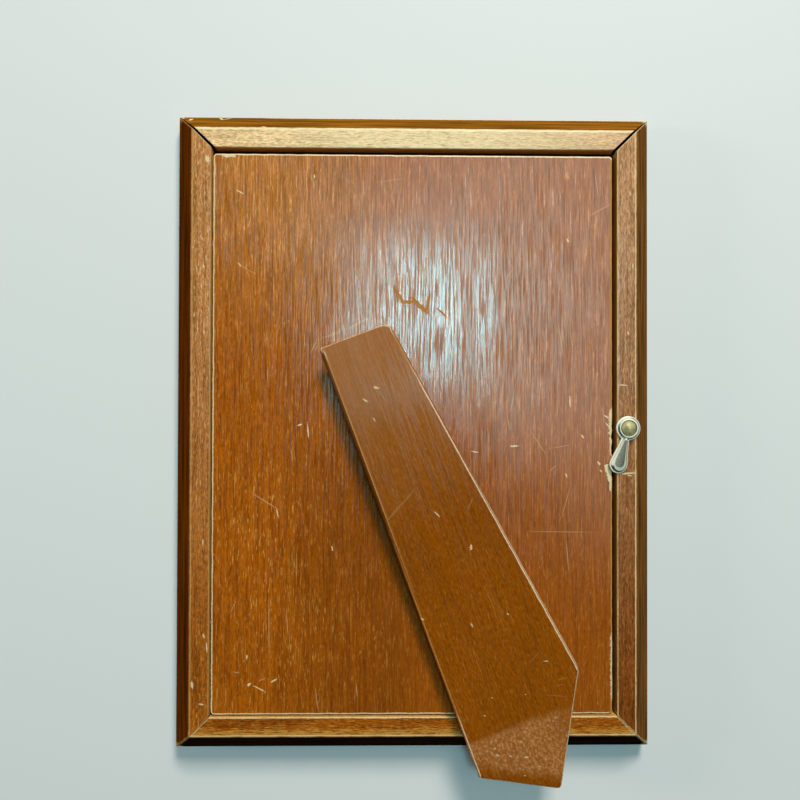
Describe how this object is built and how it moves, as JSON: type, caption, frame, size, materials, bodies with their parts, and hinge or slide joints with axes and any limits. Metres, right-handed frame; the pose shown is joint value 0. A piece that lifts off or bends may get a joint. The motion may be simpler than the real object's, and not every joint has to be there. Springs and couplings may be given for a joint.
{
  "type": "table photo frame",
  "caption": "Wooden table photo frame lying face down, with mitred mouldings, a lift-out back panel, a hinged easel strut and a metal turn button.",
  "frame": {"origin": "middle of the whole object's footprint, on the surface that its front face lies on", "axes": "+Z out of the frame's back, +Y towards its upper end, +X to the right seen from behind"},
  "size_m": [0.1524, 0.2122, 0.0215],
  "materials": {
    "frame_wood": "brown lacquer, worn bare along its edges",
    "panel_wood": "glossy brown lacquer over fine upright grain",
    "strut_wood": "glossy darker brown lacquer",
    "clear_glass": "clear sheet glass",
    "photo_paper": "plain semi-matt print",
    "grey_card": "plain grey board",
    "nickel": "worn bright nickel plate",
    "tarnished_brass": "nickel worn through to dull brass",
    "hinge_brass": "plain pressed brass",
    "steel": "bright wire"
  },
  "bodies": {
    "frame": {"rail_top": "frame_wood", "rail_bottom": "frame_wood", "stile_left": "frame_wood", "stile_right": "frame_wood", "corner_brads_top_left": "steel", "corner_brads_top_right": "steel", "corner_brads_bottom_left": "steel", "corner_brads_bottom_right": "steel", "glass_pane": "clear_glass", "picture_print": "photo_paper", "filler_card": "grey_card", "turn_button_pin": "tarnished_brass"},
    "back": {"back_panel": "panel_wood", "panel_locating_pins": "steel", "hinge_leaf_panel": "hinge_brass", "hinge_pin": "steel", "hinge_screws_panel": "steel"},
    "easel": {"strut": "strut_wood", "hinge_leaf_strut": "hinge_brass", "hinge_screws_strut": "steel"},
    "button": {"turn_button": "nickel"}
  },
  "joints": [
    {"name": "panel_tilt", "type": "hinge", "parent": "frame", "child": "back", "pos_m": [-0.0634, 0.00451, 0.0124], "axis": [0, -1, 0], "range_deg": [0, 35]},
    {"name": "strut_swing", "type": "hinge", "parent": "back", "child": "easel", "pos_m": [-0.01608, 0.02647, 0.01455], "axis": [-0.9361, -0.3518, 0], "range_deg": [0, 45.7]},
    {"name": "button_turn", "type": "hinge", "parent": "frame", "child": "button", "pos_m": [0.06788, 0.00571, 0.01415], "axis": [0, 0, 1], "continuous": true}
  ]
}
